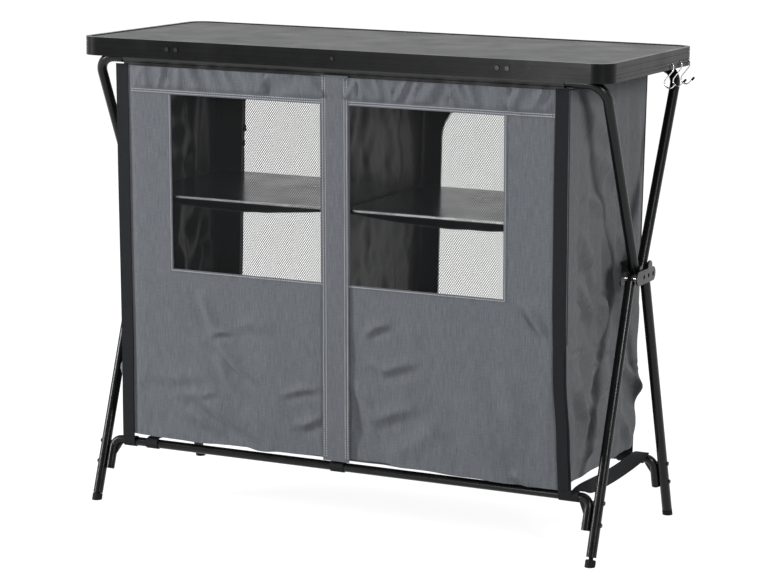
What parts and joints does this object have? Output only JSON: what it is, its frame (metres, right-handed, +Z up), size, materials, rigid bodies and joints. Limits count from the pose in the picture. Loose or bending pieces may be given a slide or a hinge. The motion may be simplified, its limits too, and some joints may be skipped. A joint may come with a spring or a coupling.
{
  "type": "folding camping cupboard",
  "caption": "Folding camping cupboard: a grey worktop with a grooved black apron on a crossed tube frame that carries a cloth cabinet with net windows, shelves and rolled doors.",
  "frame": {"origin": "on the floor, under the middle of the worktop", "axes": "+X to the right along the worktop, towards the wire hooks; +Y from the side with the net windows to the side with the doors; +Z up"},
  "size_m": [1.0308, 0.434, 0.86],
  "materials": {
    "apron_black": "satin black grooved profile",
    "worktop_grey": "board with a plain matt grey surface",
    "brace_metal": "plain extruded bar",
    "fastener_black": "black coated fastener",
    "pin_steel": "bright steel",
    "washer_black": "plain",
    "plate_black": "satin black",
    "tube_black": "gloss black coating on aluminium tube",
    "foot_rubber": "matt",
    "hook_steel": "bright wire",
    "tip_rubber": "matt",
    "cloth_grey": "heather grey woven polyester",
    "cloth_black": "black lining cloth",
    "webbing_black": "flat woven webbing",
    "net_black": "open mesh, drawn as a coarse square grid",
    "shelf_grey": "dark grey laminate",
    "trim_bright": "bright strip",
    "zip_orange": "orange-brown cord and slider"
  },
  "bodies": {
    "cabinet": {"outer_plate_left": "plate_black", "outer_plate_right": "plate_black", "inner_plate_left": "plate_black", "inner_plate_right": "plate_black", "lower_pins": "pin_steel", "upper_pins": "fastener_black", "knuckle_washers": "washer_black", "front_panel_left": "cloth_grey", "front_panel_right": "cloth_grey", "window_net_left": "net_black", "window_net_right": "net_black", "seam_band": "cloth_grey", "side_panel_left": "cloth_grey", "side_panel_right": "cloth_grey", "back_panel": "cloth_grey", "divider": "cloth_black", "cabinet_floor": "cloth_black", "sling_left": "cloth_black", "sling_right": "cloth_black", "spread_straps": "webbing_black", "centre_loops": "webbing_black", "door_roll_left": "cloth_grey", "door_roll_right": "cloth_grey", "zip_pulls": "zip_orange", "corner_strap_front_left": "webbing_black", "corner_strap_front_right": "webbing_black", "corner_strap_back_left": "webbing_black", "corner_strap_back_right": "webbing_black"},
    "worktop": {"edge_profile": "apron_black", "worktop_board": "worktop_grey", "brace_left": "brace_metal", "brace_centre": "brace_metal", "brace_right": "brace_metal", "apron_fasteners": "fastener_black"},
    "shelf_left": {"shelf_board_left": "shelf_grey", "shelf_trim_left": "trim_bright"},
    "shelf_right": {"shelf_board_right": "shelf_grey", "shelf_trim_right": "trim_bright"},
    "upper_front": {"upper_frame_front": "tube_black", "top_hem_front": "cloth_black"},
    "lower_front": {"leg_front_left": "tube_black", "leg_front_right": "tube_black", "cross_tube_front": "tube_black", "leg_bolts_front": "fastener_black"},
    "screw_foot_front_left": {"foot_front_left": "foot_rubber"},
    "screw_foot_front_right": {"foot_front_right": "foot_rubber"},
    "upper_back": {"upper_frame_back": "tube_black", "top_hem_back": "cloth_black"},
    "lower_back": {"leg_back_left": "tube_black", "leg_back_right": "tube_black", "cross_tube_back": "tube_black", "leg_bolts_back": "fastener_black"},
    "screw_foot_back_left": {"foot_back_left": "foot_rubber"},
    "screw_foot_back_right": {"foot_back_right": "foot_rubber"},
    "wire_hook_1": {"hook_1": "hook_steel", "hook_tip_1": "tip_rubber"},
    "wire_hook_2": {"hook_2": "hook_steel", "hook_tip_2": "tip_rubber"},
    "wire_hook_3": {"hook_3": "hook_steel", "hook_tip_3": "tip_rubber"}
  },
  "joints": [
    {"name": "fold", "type": "hinge", "parent": "cabinet", "child": "lower_front", "pos_m": [0, -0.034, 0.475], "axis": [1, 0, 0], "range_deg": [0, 18.94], "deforming": ["front_panel_left", "front_panel_right", "window_net_left", "window_net_right", "seam_band", "side_panel_left", "side_panel_right", "back_panel", "divider", "cabinet_floor", "sling_left", "sling_right", "spread_straps", "centre_loops", "door_roll_left", "door_roll_right", "zip_pulls", "corner_strap_front_left", "corner_strap_front_right", "corner_strap_back_left", "corner_strap_back_right"]},
    {"name": "fold_lower_back", "type": "hinge", "parent": "cabinet", "child": "lower_back", "pos_m": [0, 0.034, 0.475], "axis": [-1, 0, 0], "range_deg": [0, 18.96]},
    {"name": "fold_upper_front", "type": "hinge", "parent": "cabinet", "child": "upper_front", "pos_m": [0, -0.019, 0.49], "axis": [-1, 0, 0], "range_deg": [0, 25.83]},
    {"name": "fold_upper_back", "type": "hinge", "parent": "cabinet", "child": "upper_back", "pos_m": [0, 0.019, 0.49], "axis": [1, 0, 0], "range_deg": [0, 25.83]},
    {"name": "worktop_lift", "type": "slide", "parent": "cabinet", "child": "worktop", "axis": [0, 0, 1], "range_m": [0, 0.1]},
    {"name": "shelf_out_left", "type": "hinge", "parent": "cabinet", "child": "shelf_left", "pos_m": [-0.22395, 0.001, 0.576], "axis": [1, 0, 0], "range_deg": [0, 90.1]},
    {"name": "shelf_out_right", "type": "hinge", "parent": "cabinet", "child": "shelf_right", "pos_m": [0.21095, 0.001, 0.576], "axis": [1, 0, 0], "range_deg": [0, 90.1]},
    {"name": "hook_swing_1", "type": "hinge", "parent": "worktop", "child": "wire_hook_1", "pos_m": [0.50775, 0.092, 0.8328], "axis": [0, -1, 0], "range_deg": [0, 50]},
    {"name": "hook_swing_2", "type": "hinge", "parent": "worktop", "child": "wire_hook_2", "pos_m": [0.50775, 0.136, 0.8328], "axis": [0, -1, 0], "range_deg": [0, 50]},
    {"name": "hook_swing_3", "type": "hinge", "parent": "worktop", "child": "wire_hook_3", "pos_m": [0.50775, 0.18, 0.8328], "axis": [0, -1, 0], "range_deg": [0, 50]},
    {"name": "foot_screw_front_left", "type": "slide", "parent": "lower_front", "child": "screw_foot_front_left", "axis": [0, -0.3246, -0.9459], "range_m": [0, 0.01]},
    {"name": "foot_screw_front_right", "type": "slide", "parent": "lower_front", "child": "screw_foot_front_right", "axis": [0, -0.3246, -0.9459], "range_m": [-0.0035, 0.01]},
    {"name": "foot_screw_back_left", "type": "slide", "parent": "lower_back", "child": "screw_foot_back_left", "axis": [0, 0.3246, -0.9459], "range_m": [0, 0.01]},
    {"name": "foot_screw_back_right", "type": "slide", "parent": "lower_back", "child": "screw_foot_back_right", "axis": [0, 0.3246, -0.9459], "range_m": [0, 0.01]}
  ],
  "couplings": [
    {"joint": "fold_lower_back", "follows": "fold", "ratio": 1},
    {"joint": "fold_upper_front", "follows": "fold", "ratio": 1.362},
    {"joint": "fold_upper_back", "follows": "fold", "ratio": 1.362},
    {"joint": "worktop_lift", "follows": "fold", "m_per_rad": 0.3},
    {"joint": "shelf_out_left", "follows": "fold", "ratio": 4.7518},
    {"joint": "shelf_out_right", "follows": "fold", "ratio": 4.7518}
  ]
}
